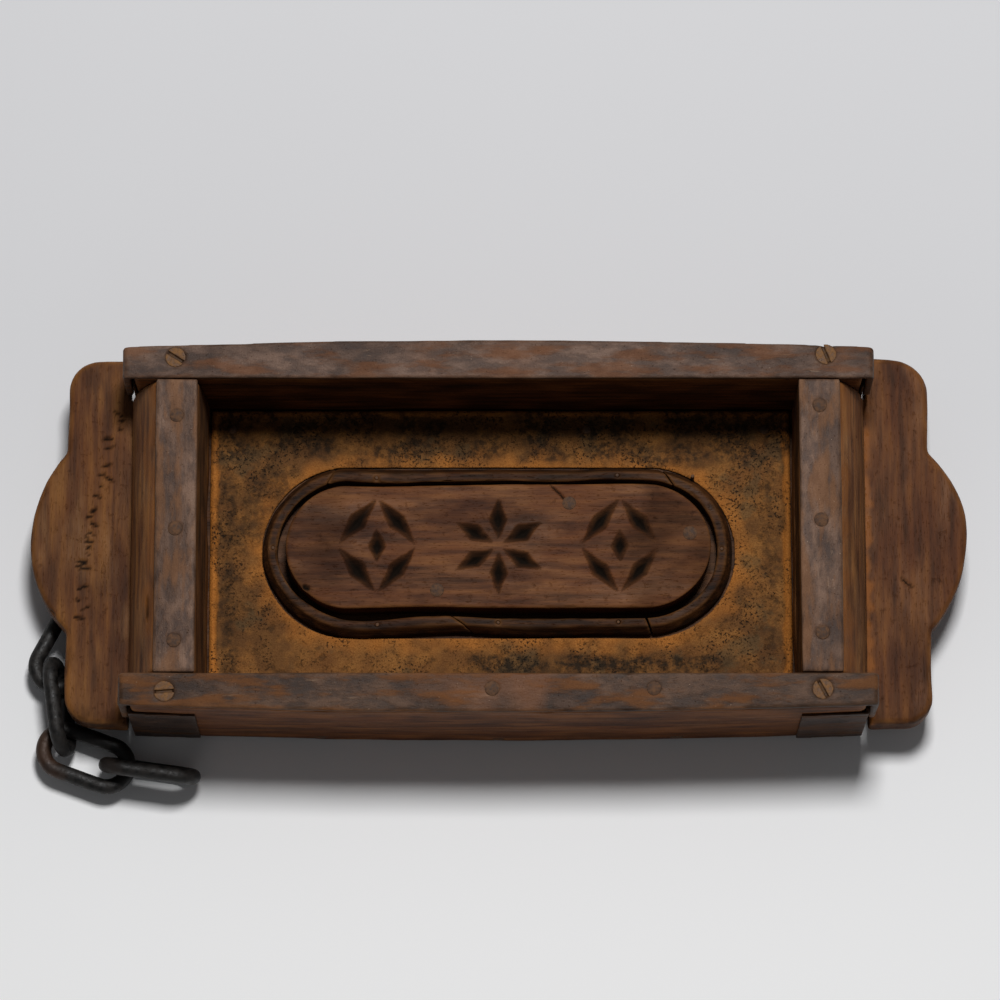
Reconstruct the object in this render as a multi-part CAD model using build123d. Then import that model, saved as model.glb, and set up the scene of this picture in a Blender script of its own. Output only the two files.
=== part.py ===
from build123d import *
import math
import os

# Wooden brick mould: a box that shapes one clay brick, standing on a base board, with a
# scalloped handle board at each end and iron on every rubbing edge.
# Frame: X along the brick, +Y the far side, +Z up; the origin is the centre of the underside.
# All sizes are in millimetres.

# ---------------------------------------------------------------- the brick and the box
CAVITY_LENGTH = 254.0            # inside length at the rim
CAVITY_WIDTH = 127.0             # inside width
MOULD_HEIGHT = 70.0              # underside of the base to the top of the rim irons
BASE_THICKNESS = 13.0
BASE_LAP = 38.0                  # how far the base runs under each handle board
WALL_MIDDLE = 16.6               # long wall thickness half way along, where it bows out
WALL_END = 13.5                  # long wall thickness at its ends
WALL_RUN_PAST = 27.5             # how far a long wall runs past the cavity
WALL_EDGE_BEVEL = 2.0            # on the long walls' lower outer edge
END_WALL_TOP = 17.5              # end wall thickness under its iron strip
END_WALL_FOOT = 30.0             # end wall thickness where it stands on the handle board
END_WALL_SWELL = (2.5, 0.8)      # how far its outer face swells past a straight slope, along X and Z
END_WALL_DRAFT = {"left": 2.5, "right": 0.4}   # how far the foot leans into the cavity

# ---------------------------------------------------------------- handle boards
HANDLE_THICKNESS = 17.0
HANDLE_LOBE_REACH = 73.3         # cavity end to the tip of the lobe
HANDLE_WING_REACH = 57.4         # cavity end to the edge of the wings
HANDLE_FAR_EDGE = 82.0           # middle to the far edge
HANDLE_NEAR_EDGE = 78.0          # middle to the near edge
LOBE_FAR = 41.5                  # middle to the far notch
LOBE_NEAR = 37.5                 # middle to the near notch
WING_ROUND_FAR = 15.0
WING_ROUND_NEAR = 12.0
NOTCH_ROUND = 2.5
HANDLE_TOP_ROUND = 1.6
HANDLE_BOTTOM_ROUND = 3.5        # eased for the fingers
HANDLE_NOTCH_GAP = 2.2           # loose cut of the notch that clears a long wall's end
TONGUE_GAP = 0.3                 # side play of the tongue between the long walls

# ---------------------------------------------------------------- irons
STRAP_THICKNESS = 3.0
STRAP_TAB_DROP = 28.0            # the turned-down end of a rim strap
STRAP_BEND_ROUND = 2.6
STRAP_TAB_GAP = 0.3
STRIP_GAP = 0.5                  # end strip to rim strap
PLATE_THICKNESS = 1.2
PLATE_LENGTH = 27.0              # corner plate along the wall
PLATE_BOTTOM = 4.0
PLATE_TOP = 54.0
LINER_THICKNESS = 1.5
LINER_GAP = 0.5                  # liner to the walls
LINER_CUT_GAP = 1.0              # liner to the bead

# ---------------------------------------------------------------- frog: plaque and bead
PLAQUE_LENGTH = 182.0
PLAQUE_WIDTH = 54.0
PLAQUE_HEIGHT = 15.0             # above the base board
PLAQUE_EDGE_ROUND = 1.2
GROOVE = 2.9                     # plaque to bead
BEAD_WIDTH = 6.6
BEAD_HEIGHT = 8.5
BEAD_BEVEL_RUN = 2.6
BEAD_BEVEL_DROP = 5.0
MOTIF_PITCH = 52.0               # between the centres of the three carved figures
CHIP_WIDTH = 7.0                 # a V-cut's width at its middle
CHIP_DEPTH = 3.6
CHIP_TAPER = 41.0                # degrees that its sides lean in, a little short of meeting
CHIP_OVER = 0.5                  # how far the cutting shape stands above the wood
LOZENGE_LENGTH = 34.0
LOZENGE_HEIGHT = 42.0
LOZENGE_CUT = 24.5               # each of its four sides
LOZENGE_CENTRE_CUT = 14.0
ROSETTE_PETAL = 18.0
ROSETTE_PETAL_OUT = 11.8         # middle of the rosette to the middle of a petal
ROSETTE_PETALS = 6

# ---------------------------------------------------------------- fasteners
SCREW_HEAD = 9.0
SCREW_SHANK = 4.4
SCREW_LENGTH = 30.0
SLOT_WIDTH = 1.3
SLOT_DEPTH = 1.1
NAIL_HEAD = 6.2
NAIL_SHANK = 2.6
NAIL_DOME = 0.7
NAIL_DISC = 0.6                  # how deep its head is let in, short of a corner plate's back
NAIL_SUNK = 0.3                  # head rim below a bowed face
PIN_SHANK = 1.6
TACK_HEAD = 4.2
TACK_LENGTH = 10.4
LONG_NAIL = 34.0
SHORT_NAIL = 19.0
HANDLE_NAIL = 25.5               # up from under the base into a handle board
PLAQUE_NAIL_LENGTH = 24.1
PIN_LENGTH = 16.3
HANDLE_NAIL_EDGE = 9.0           # from the base board's end
PLATE_NAIL_PAST = 1.5            # past the end wall's top
PLATE_NAIL_EDGE = (8.0, 6.0)     # above the handle board, below the plate's top
TACK_EDGE = (12.0, 9.0)          # from the cavity's end and side
NAIL_ROW = 0.6                   # a row's outer nails, as a share of the half length
HANDLE_ROW = 0.7                 # and of the half width
TACK_ROW = 0.3

# ---------------------------------------------------------------- chain
LINK_LENGTH = 44.0
LINK_WIDTH = 25.0
LINK_WIRE = 6.6
STAPLE_WIRE = 3.6
STAPLE_LEG = 11.0                # how far its legs are driven into the handle board
STAPLE_GAP = 0.3                 # bar to the first link's end
STAPLE_BEND = 1.3                # its bend radius in wire radii
STAPLE_PLAY = 1.2                # its inner leg to the link's wire
LINK_PLAY = 0.25                 # between two hooked links
UPRIGHT_LEAN = 12.0              # degrees an upright link leans over
SECOND_LINK_AT = (-4.6, 20.3)    # its first arc, from the left wing's near corner
FIRST_LINK_REACH = (1.2, -0.4)   # where the first link's end rests inside the second
FIRST_LINK_ROLL = 0.05           # how far it rolls over
HEADING = (-117, -82, -20, -8)   # each link's direction in plan, in degrees
FIRST_LINK_CLIMB = 0.08

# ---------------------------------------------------------------- worked out from the above
half_length = CAVITY_LENGTH / 2
half_width = CAVITY_WIDTH / 2
wood_top = MOULD_HEIGHT - STRAP_THICKNESS
handle_top = BASE_THICKNESS + HANDLE_THICKNESS
floor_top = BASE_THICKNESS + LINER_THICKNESS
plaque_top = BASE_THICKNESS + PLAQUE_HEIGHT
wall_end_x = half_length + WALL_RUN_PAST
tab_inner_x = wall_end_x + PLATE_THICKNESS + STRAP_TAB_GAP
strap_end_x = tab_inner_x + STRAP_THICKNESS
foot_x = half_length + END_WALL_FOOT
bead_inner_length = PLAQUE_LENGTH + 2 * GROOVE
bead_inner_width = PLAQUE_WIDTH + 2 * GROOVE
bead_length = bead_inner_length + 2 * BEAD_WIDTH
bead_width = bead_inner_width + 2 * BEAD_WIDTH
SIDE = {"left": -1, "right": 1}
EDGE = {"near": -1, "far": 1}


# ================================================================ small helpers
def block(x0, x1, y0, y1, z0, z1):
    """A box from its lowest and highest corner."""
    size = Box(x1 - x0, y1 - y0, z1 - z0)
    return Pos((x0 + x1) / 2, (y0 + y1) / 2, (z0 + z1) / 2) * size


def stadium(length, width, z0, z1):
    """A stadium-shaped block centred on the Z axis."""
    return extrude(Plane.XY.offset(z0) * SlotOverall(length, width), z1 - z0)


def nail(head, shank, length):
    """A domed nail pointing down -Z; its head is let in up to its rim, in the XY plane."""
    dome_radius = (head**2 / 4 + NAIL_DOME**2) / (2 * NAIL_DOME)
    dome = Pos(0, 0, NAIL_DOME - dome_radius) * Sphere(dome_radius)
    dome = dome & Pos(0, 0, NAIL_DOME / 2) * Cylinder(head / 2 + 1, NAIL_DOME)
    disc = Pos(0, 0, -NAIL_DISC / 2) * Cylinder(head / 2, NAIL_DISC)
    body = Pos(0, 0, -length / 2) * Cylinder(shank / 2, length)
    return dome + disc + body


def screw():
    """A countersunk wood screw pointing down -Z, without its slot."""
    cone = Pos(0, 0, -STRAP_THICKNESS / 2) * Cone(SCREW_SHANK / 2, SCREW_HEAD / 2, STRAP_THICKNESS)
    shank = Pos(0, 0, -SCREW_LENGTH / 2) * Cylinder(SCREW_SHANK / 2, SCREW_LENGTH)
    return cone + shank


def slotted(fastener, turn):
    """The same screw with its slot cut at an angle in the head."""
    cutter = Pos(0, 0, -SLOT_DEPTH / 2) * Box(SCREW_HEAD + 1, SLOT_WIDTH, SLOT_DEPTH)
    return fastener - Rot(0, 0, turn) * cutter


def drill(board, fasteners):
    """The board with a close hole for each fastener that reaches it."""
    box = board.bounding_box()
    near = []
    for fastener in fasteners:
        other = fastener.bounding_box()
        apart = (other.min.X > box.max.X or other.max.X < box.min.X
                 or other.min.Y > box.max.Y or other.max.Y < box.min.Y
                 or other.min.Z > box.max.Z or other.max.Z < box.min.Z)
        if not apart:
            near.append(fastener)
    return board - near if near else board


# ================================================================ long walls and their irons
def wall_plan(edge, outward=0.0, end_x=wall_end_x):
    """Plan of a long wall: straight inside, bowed outside, grown outward by a sheet's thickness."""
    side = EDGE[edge]
    inner = side * half_width
    outer_end = side * (half_width + WALL_END + outward)
    outer_middle = side * (half_width + WALL_MIDDLE + outward)
    lines = [
        Line((-end_x, inner), (end_x, inner)),
        Line((end_x, inner), (end_x, outer_end)),
        ThreePointArc((end_x, outer_end), (0, outer_middle), (-end_x, outer_end)),
        Line((-end_x, outer_end), (-end_x, inner)),
    ]
    return make_face(lines)


def long_wall(edge):
    wall = extrude(wall_plan(edge), wood_top)
    outer_low = [e for e in wall.edges().filter_by(GeomType.CIRCLE) if e.center().Z < 1]
    return chamfer(outer_low, WALL_EDGE_BEVEL)


def rim_strap(edge):
    """Flat iron on top of a long wall, both ends turned down over the wall's ends."""
    strap = extrude(Plane.XY.offset(wood_top) * wall_plan(edge, 0.0, strap_end_x), STRAP_THICKNESS)
    inner = EDGE[edge] * half_width
    outer = EDGE[edge] * (half_width + WALL_END)
    y0, y1 = min(inner, outer), max(inner, outer)
    for side in SIDE.values():
        x0, x1 = sorted((side * tab_inner_x, side * strap_end_x))
        strap = strap + block(x0, x1, y0, y1, wood_top - STRAP_TAB_DROP, wood_top)
    bends = [e for e in strap.edges().filter_by(Axis.Y)
             if abs(abs(e.center().X) - strap_end_x) < 0.1 and abs(e.center().Z - MOULD_HEIGHT) < 0.1]
    return fillet(bends, STRAP_BEND_ROUND)


def corner_plate(edge, side_name):
    """Thin iron on a wall's outer face and round its end."""
    side = SIDE[side_name]
    grown = wall_plan(edge, PLATE_THICKNESS, wall_end_x + PLATE_THICKNESS)
    sheet = extrude(Plane.XY.offset(PLATE_BOTTOM) * grown, PLATE_TOP - PLATE_BOTTOM)
    body = extrude(wall_plan(edge), wood_top)
    x0, x1 = sorted((side * (wall_end_x - PLATE_LENGTH), side * (strap_end_x + 1)))
    reach = half_width + WALL_MIDDLE + 10
    room = block(x0, x1, -reach, reach, 0, MOULD_HEIGHT)
    return (sheet & room) - body


# ================================================================ ends of the box
def end_wall(side_name):
    """Stands on the handle board's tongue; its outer face slopes out in a low swell."""
    side = SIDE[side_name]
    draft = END_WALL_DRAFT[side_name]
    top_outer = (half_length + END_WALL_TOP, wood_top)
    foot_outer = (foot_x, handle_top)
    swell = ((top_outer[0] + foot_outer[0]) / 2 + END_WALL_SWELL[0],
             (top_outer[1] + foot_outer[1]) / 2 + END_WALL_SWELL[1])
    lines = [
        Line((half_length - draft, handle_top), (half_length, wood_top)),
        Line((half_length, wood_top), top_outer),
        ThreePointArc(top_outer, swell, foot_outer),
        Line(foot_outer, (half_length - draft, handle_top)),
    ]
    profile = Plane.XZ * make_face(lines)
    wall = extrude(profile, half_width, both=True)
    return wall if side > 0 else mirror(wall, about=Plane.YZ)


def end_strip(side_name):
    side = SIDE[side_name]
    x0, x1 = sorted((side * half_length, side * (half_length + END_WALL_TOP)))
    reach = half_width - STRIP_GAP
    return block(x0, x1, -reach, reach, wood_top, MOULD_HEIGHT)


# ================================================================ base and handle boards
def base_board():
    reach = half_length + BASE_LAP
    return block(-reach, reach, -half_width, half_width, 0, BASE_THICKNESS)


def handle_board(side_name):
    """Scalloped board whose tongue runs in between the long walls and carries the end wall."""
    draft = END_WALL_DRAFT[side_name]
    tongue_x = half_length - draft
    shoulder_x = wall_end_x + PLATE_THICKNESS + HANDLE_NOTCH_GAP
    tongue_y = half_width - TONGUE_GAP
    wing_x = half_length + HANDLE_WING_REACH
    lobe_x = half_length + HANDLE_LOBE_REACH
    lobe_middle = (LOBE_FAR - LOBE_NEAR) / 2
    corners = [
        (wing_x, -LOBE_NEAR), (wing_x, -HANDLE_NEAR_EDGE), (shoulder_x, -HANDLE_NEAR_EDGE),
        (shoulder_x, -tongue_y), (tongue_x, -tongue_y), (tongue_x, tongue_y),
        (shoulder_x, tongue_y), (shoulder_x, HANDLE_FAR_EDGE), (wing_x, HANDLE_FAR_EDGE),
        (wing_x, LOBE_FAR),
    ]
    lobe = ThreePointArc(corners[-1], (lobe_x, lobe_middle), corners[0])
    plan = make_face([Polyline(*corners), lobe])
    board = extrude(Plane.XY.offset(BASE_THICKNESS) * plan, HANDLE_THICKNESS)

    def upright(x, y):
        return [e for e in board.edges().filter_by(Axis.Z)
                if abs(e.center().X - x) < 0.1 and abs(e.center().Y - y) < 0.1]

    board = fillet(upright(wing_x, HANDLE_FAR_EDGE), WING_ROUND_FAR)
    board = fillet(upright(wing_x, -HANDLE_NEAR_EDGE), WING_ROUND_NEAR)
    board = fillet(upright(wing_x, LOBE_FAR) + upright(wing_x, -LOBE_NEAR), NOTCH_ROUND)

    def outline(z):
        return [e for e in board.edges() if abs(e.center().Z - z) < 0.01
                and e.bounding_box().size.Z < 0.01 and e.center().X > shoulder_x + 1
                and e.bounding_box().min.X > shoulder_x - 0.1]

    board = fillet(outline(handle_top), HANDLE_TOP_ROUND)
    board = fillet(outline(BASE_THICKNESS), HANDLE_BOTTOM_ROUND)
    return board if SIDE[side_name] > 0 else mirror(board, about=Plane.YZ)


# ================================================================ liner, bead and plaque
def floor_liner():
    """Sheet iron on the base board, cut out round the bead."""
    x0 = -half_length + END_WALL_DRAFT["left"] + LINER_GAP
    x1 = half_length - END_WALL_DRAFT["right"] - LINER_GAP
    reach = half_width - LINER_GAP
    sheet = block(x0, x1, -reach, reach, BASE_THICKNESS, floor_top)
    hole = stadium(bead_length + 2 * LINER_CUT_GAP, bead_width + 2 * LINER_CUT_GAP,
                   BASE_THICKNESS - 1, floor_top + 1)
    return sheet - hole


def bead_ring():
    """The moulding round the plaque, bevelled on its outer side."""
    top = BASE_THICKNESS + BEAD_HEIGHT
    ring = stadium(bead_length, bead_width, BASE_THICKNESS, top)
    rim = ring.faces().sort_by(Axis.Z)[-1].edges()
    ring = chamfer(rim, BEAD_BEVEL_RUN, BEAD_BEVEL_DROP, reference=ring.faces().sort_by(Axis.Z)[-1])
    return ring - stadium(bead_inner_length, bead_inner_width, BASE_THICKNESS - 1, top + 1)


# each joint: where it crosses the middle of the bead, and how far it slants along X
BEAD_JOINT = {"near_left": (-15.5, 9.0), "near_right": (65.0, 2.6),
              "far_left": (-71.0, 4.0), "far_right": (72.0, -4.0)}
BEAD_END_PIN = 83.2              # from the middle to the pin past the far right joint


def joint_line(name):
    """The two ends of a scarf cut, past the bead's inner and outer sides."""
    middle_x, slant = BEAD_JOINT[name]
    side = EDGE[name.split("_")[0]]
    middle_y = side * (bead_inner_width + BEAD_WIDTH) / 2
    past = BEAD_WIDTH
    inner = (middle_x - slant * past / BEAD_WIDTH, middle_y - side * past)
    outer = (middle_x + slant * past / BEAD_WIDTH, middle_y + side * past)
    return inner, outer


def bead_piece(name):
    """One length of the bead, between two scarf cuts."""
    near_left, near_right = joint_line("near_left"), joint_line("near_right")
    far_left, far_right = joint_line("far_left"), joint_line("far_right")
    far_out = bead_length
    areas = {
        "bead_near": [near_left[0], near_left[1], near_right[1], near_right[0]],
        "bead_far": [far_left[0], far_left[1], far_right[1], far_right[0]],
        "bead_left": [near_left[0], near_left[1], (-far_out, near_left[1][1]),
                      (-far_out, far_left[1][1]), far_left[1], far_left[0]],
        "bead_right": [near_right[0], near_right[1], (far_out, near_right[1][1]),
                       (far_out, far_right[1][1]), far_right[1], far_right[0]],
    }
    area = make_face(Polyline(*areas[name], close=True))
    room = extrude(Plane.XY.offset(BASE_THICKNESS - 1) * area, BEAD_HEIGHT + 2)
    return bead_ring() & room


def chip(length):
    """A chip cut: a long diamond at the surface that narrows to a line CHIP_DEPTH down."""
    outline = [(-length / 2, 0), (0, -CHIP_WIDTH / 2), (length / 2, 0), (0, CHIP_WIDTH / 2)]
    grow = 1 + CHIP_OVER / CHIP_DEPTH
    wide = [(x * grow, y * grow) for x, y in outline]
    top = Plane.XY.offset(plaque_top + CHIP_OVER) * make_face(Polyline(*wide, close=True))
    return extrude(top, -(CHIP_DEPTH + CHIP_OVER), taper=CHIP_TAPER)


def carved_figures():
    """Two lozenges and a six-petalled rosette, all made of chip cuts."""
    cuts = []
    lean = math.degrees(math.atan2(LOZENGE_HEIGHT, LOZENGE_LENGTH))
    for side in SIDE.values():
        centre = side * MOTIF_PITCH
        for across, along in ((-1, -1), (-1, 1), (1, -1), (1, 1)):
            place = Pos(centre + across * LOZENGE_LENGTH / 4, along * LOZENGE_HEIGHT / 4, 0)
            cuts.append(place * Rot(0, 0, -across * along * lean) * chip(LOZENGE_CUT))
        cuts.append(Pos(centre, 0, 0) * Rot(0, 0, 90) * chip(LOZENGE_CENTRE_CUT))
    for number in range(ROSETTE_PETALS):
        turn = 90 + number * 360 / ROSETTE_PETALS
        cuts.append(Rot(0, 0, turn) * Pos(ROSETTE_PETAL_OUT, 0, 0) * chip(ROSETTE_PETAL))
    return cuts


def frog_plaque():
    plaque = stadium(PLAQUE_LENGTH, PLAQUE_WIDTH, BASE_THICKNESS, plaque_top)
    plaque = fillet(plaque.faces().sort_by(Axis.Z)[-1].edges(), PLAQUE_EDGE_ROUND)
    for cut in carved_figures():
        plaque = plaque - cut
    return plaque


# ================================================================ fasteners
# each rim screw: past the cavity's end, past its side, and the turn of its slot
RIM_SCREW = {("far", "left"): (9.6, 9.0, -33), ("far", "right"): (11.6, 10.2, -68),
             ("near", "left"): (12.5, 7.9, 4), ("near", "right"): (8.5, 6.9, -62)}
RIM_NAIL_X = (-2.6, 65.0)
STRIP_NAIL_Y = {"left": (47.2, -1.7, -49.7), "right": (51.6, 2.0, -46.3)}
PLAQUE_NAIL = ((-26.2, -19.3), (30.3, 18.8), (82.0, 5.6))


def rim_screws():
    screws = []
    for (edge, side_name), (past_end, past_side, turn) in RIM_SCREW.items():
        place = Pos(SIDE[side_name] * (half_length + past_end), EDGE[edge] * (half_width + past_side),
                    MOULD_HEIGHT)
        screws.append((place * screw(), place * slotted(screw(), turn)))
    return screws


def rim_nails():
    y = -(half_width + WALL_END / 2)
    return [Pos(x, y, MOULD_HEIGHT) * nail(NAIL_HEAD, NAIL_SHANK, LONG_NAIL) for x in RIM_NAIL_X]


def end_strip_nails():
    nails = []
    for name, side in SIDE.items():
        x = side * (half_length + END_WALL_TOP / 2)
        nails += [Pos(x, y, MOULD_HEIGHT) * nail(NAIL_HEAD, NAIL_SHANK, SHORT_NAIL)
                  for y in STRIP_NAIL_Y[name]]
    return nails


def plaque_nails():
    return [Pos(x, y, plaque_top) * nail(NAIL_HEAD, NAIL_SHANK, PLAQUE_NAIL_LENGTH)
            for x, y in PLAQUE_NAIL]


def bead_pins():
    """Two headless pins in each length of bead, down the middle of its flat top."""
    middle_y = (bead_inner_width + BEAD_WIDTH - BEAD_BEVEL_RUN) / 2
    end_x = (bead_inner_length + BEAD_WIDTH - BEAD_BEVEL_RUN) / 2
    places = [(-end_x, 0), (-MOTIF_PITCH, -middle_y), (0, -middle_y), (MOTIF_PITCH, -middle_y),
              (end_x, 0), (BEAD_END_PIN, middle_y), (-MOTIF_PITCH, middle_y), (MOTIF_PITCH, middle_y)]
    middle_z = BASE_THICKNESS + BEAD_HEIGHT - PIN_LENGTH / 2
    return [Pos(x, y, middle_z) * Cylinder(PIN_SHANK / 2, PIN_LENGTH) for x, y in places]


def handle_nails():
    """Driven up from under the base into each handle board."""
    nails = []
    for side in SIDE.values():
        x = side * (half_length + BASE_LAP - HANDLE_NAIL_EDGE)
        for y in (-half_width * HANDLE_ROW, 0, half_width * HANDLE_ROW):
            nails.append(Pos(x, y, NAIL_DOME) * Rot(180, 0, 0) * nail(NAIL_HEAD, NAIL_SHANK, HANDLE_NAIL))
    return nails


def sideways_nail(x, edge, z, length, sunk_to):
    """A nail driven in from the far or near side, its head's rim at sunk_to from the middle."""
    turn = 90 if edge == "near" else -90
    return Pos(x, EDGE[edge] * sunk_to, z) * Rot(turn, 0, 0) * nail(NAIL_HEAD, NAIL_SHANK, length)


def bow(x, outward=0.0):
    """How far the long wall's outer face lies from the middle at x."""
    rise = WALL_MIDDLE - WALL_END
    radius = (wall_end_x**2 + rise**2) / (2 * rise)
    return half_width + WALL_MIDDLE + outward - radius + math.sqrt(radius**2 - x**2)


def wall_nails():
    """Through each long wall into the edge of the base board."""
    spots = (-half_length * NAIL_ROW, 0, half_length * NAIL_ROW)
    return [sideways_nail(x, edge, BASE_THICKNESS / 2, LONG_NAIL, bow(x) - NAIL_SUNK)
            for edge in EDGE for x in spots]


def corner_plate_nails():
    """Through each corner plate and wall into the end wall's end grain."""
    nails = []
    x = half_length + END_WALL_TOP + PLATE_NAIL_PAST
    sunk_to = bow(x, PLATE_THICKNESS) - NAIL_SUNK
    for edge in EDGE:
        for side in SIDE.values():
            for z in (handle_top + PLATE_NAIL_EDGE[0], PLATE_TOP - PLATE_NAIL_EDGE[1]):
                nails.append(sideways_nail(side * x, edge, z, LONG_NAIL, sunk_to))
    return nails


def liner_tacks():
    x = half_length - TACK_EDGE[0]
    y = half_width - TACK_EDGE[1]
    middle = half_length * TACK_ROW
    places = [(sx * x, sy * y) for sx in (-1, 1) for sy in (-1, 1)] + [(middle, y), (-middle, -y)]
    return [Pos(px, py, floor_top) * nail(TACK_HEAD, PIN_SHANK, TACK_LENGTH) for px, py in places]


# ================================================================ chain
link_radius = LINK_WIDTH / 2 - LINK_WIRE / 2        # of the wire's centre line at an end
link_leg = LINK_LENGTH - LINK_WIDTH                 # length of a straight leg
wire_radius = LINK_WIRE / 2
ride_height = wire_radius + (LINK_WIRE + LINK_PLAY) * math.cos(math.radians(UPRIGHT_LEAN))


def chain_link():
    """A round-wire link in the XY plane, its length along X, with its first arc at the origin."""
    ring = Torus(link_radius, wire_radius)
    room = LINK_LENGTH * 2
    first = ring & block(-room, 0, -room, room, -room, room)
    last = Pos(link_leg, 0, 0) * (ring & block(0, room, -room, room, -room, room))
    link = first + last
    for side in (-1, 1):
        leg = Rot(0, 90, 0) * Cylinder(wire_radius, link_leg)
        link = link + Pos(link_leg / 2, side * link_radius, 0) * leg
    return link


def heading(degrees, climb=0.0):
    """A unit vector in plan, with a little climb."""
    a = math.radians(degrees)
    return Vector(math.cos(a), math.sin(a), climb).normalized()


def placed_link(first_arc, along, normal):
    return Plane(origin=first_arc, x_dir=along, z_dir=normal).location * chain_link()


def chain_layout():
    """Where each link lies: its first arc's centre, its direction and its plane's normal.

    The odd links lie flat and the even ones stand on edge; each hooks the one before it.
    """
    corner = Vector(-(half_length + HANDLE_WING_REACH), -HANDLE_NEAR_EDGE, 0)
    up = Vector(0, 0, 1)

    # the second link stands beside the wing and passes its near corner
    second_way = heading(HEADING[1])
    arc_height = wire_radius + link_radius * math.cos(math.radians(UPRIGHT_LEAN))
    second_arc = corner + Vector(*SECOND_LINK_AT, arc_height)
    away = second_way.cross(up).normalized()
    lean = math.tan(math.radians(UPRIGHT_LEAN))
    second_normal = (away - up * lean).normalized()

    # the first link lies flat, from the staple to the second link
    first_way = heading(HEADING[0], FIRST_LINK_CLIMB)
    inner_end = second_arc - second_way * link_radius + Vector(*FIRST_LINK_REACH, 0)
    first_last_arc = Vector(inner_end.X, inner_end.Y, ride_height - STAPLE_GAP)
    first_arc = first_last_arc - first_way * link_leg
    sideways = first_way.cross(up).normalized()
    first_normal = (sideways.cross(first_way).normalized() - sideways * FIRST_LINK_ROLL).normalized()

    # the third link lies flat, hooked by the second link's last arc
    third_way = heading(HEADING[2])
    hook = second_arc + second_way * (link_leg + link_radius)
    third_arc = Vector(hook.X, hook.Y, ride_height)

    # the fourth stands on edge in the third link's last arc
    fourth_way = heading(HEADING[3])
    hook = third_arc + third_way * link_leg + fourth_way * link_radius
    fourth_arc = Vector(hook.X, hook.Y, arc_height)
    fourth_normal = (fourth_way.cross(up).normalized() - up * lean).normalized()
    return [
        (first_arc, first_way, first_normal),
        (second_arc, second_way, second_normal),
        (third_arc, third_way, up),
        (fourth_arc, fourth_way, fourth_normal),
    ]


def chain_staple():
    """A U of wire driven up into the handle board; its bar hangs under the first link's end."""
    first_arc, first_way, _ = chain_layout()[0]
    flat_way = Vector(first_way.X, first_way.Y, 0).normalized()
    radius = STAPLE_WIRE / 2
    span = link_radius + wire_radius + radius + STAPLE_PLAY
    end_height = first_arc.Z - first_way.Z * link_radius
    bar_height = end_height - wire_radius - radius - STAPLE_GAP
    top = BASE_THICKNESS + STAPLE_LEG
    outer = Vector(first_arc.X, first_arc.Y, bar_height)
    inner = outer - flat_way * span
    corners = [(outer.X, outer.Y, top), outer, inner, (inner.X, inner.Y, top)]
    path = FilletPolyline(*corners, radius=radius * STAPLE_BEND)
    section = Plane(origin=path @ 0, z_dir=path % 0) * Circle(radius)
    return sweep(section, path=path)


# ================================================================ put the mould together
os.makedirs("parts", exist_ok=True)
staple = chain_staple()
screw_pairs = rim_screws()
groups = {
    "rim_nails": rim_nails(),
    "end_strip_nails": end_strip_nails(),
    "plaque_nails": plaque_nails(),
    "bead_pins": bead_pins(),
    "handle_nails": handle_nails(),
    "wall_nails": wall_nails(),
    "corner_plate_nails": corner_plate_nails(),
    "liner_tacks": liner_tacks(),
}
fasteners = [plain for plain, _ in screw_pairs] + [staple]
for group in groups.values():
    fasteners += group

pieces = {"base_board": base_board(), "floor_liner": floor_liner(), "frog_plaque": frog_plaque()}
for edge_name in EDGE:
    pieces[f"long_wall_{edge_name}"] = long_wall(edge_name)
    pieces[f"rim_strap_{edge_name}"] = rim_strap(edge_name)
    for end_name in SIDE:
        pieces[f"corner_plate_{edge_name}_{end_name}"] = corner_plate(edge_name, end_name)
for end_name in SIDE:
    pieces[f"end_wall_{end_name}"] = end_wall(end_name)
    pieces[f"end_strip_{end_name}"] = end_strip(end_name)
    pieces[f"handle_board_{end_name}"] = handle_board(end_name)
for bead_name in ("bead_near", "bead_far", "bead_left", "bead_right"):
    pieces[bead_name] = bead_piece(bead_name)
pieces = {name: drill(piece, fasteners) for name, piece in pieces.items()}

pieces["rim_screws"] = Compound([cut for _, cut in screw_pairs])
for name, group in groups.items():
    pieces[name] = Compound(group)
pieces["chain_staple"] = staple
for number, (arc, way, normal) in enumerate(chain_layout(), start=1):
    pieces[f"chain_link_{number}"] = placed_link(arc, way, normal)

for name, piece in pieces.items():
    export_step(piece, f"parts/{name}.step")
for number, (arc, way, normal) in enumerate(chain_layout(), start=1):
    print("link", number, [round(v, 2) for v in (*arc, *way, *normal)])
print(len(pieces), "nodes")
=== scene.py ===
# %% [markdown]
# # A wooden brick mould
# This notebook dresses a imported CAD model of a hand-made brick mould. The CAD holds the sizes and
# the joints. Blender gives each board, iron and chain link the shape that years of wet clay, hand
# tools and rust have left, and a material to match. Lengths in the cells are in millimetres and are
# turned to metres at the last moment, because Blender's unit here is the metre.

import math
import random

import bmesh
import bpy
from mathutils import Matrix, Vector, noise


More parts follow.
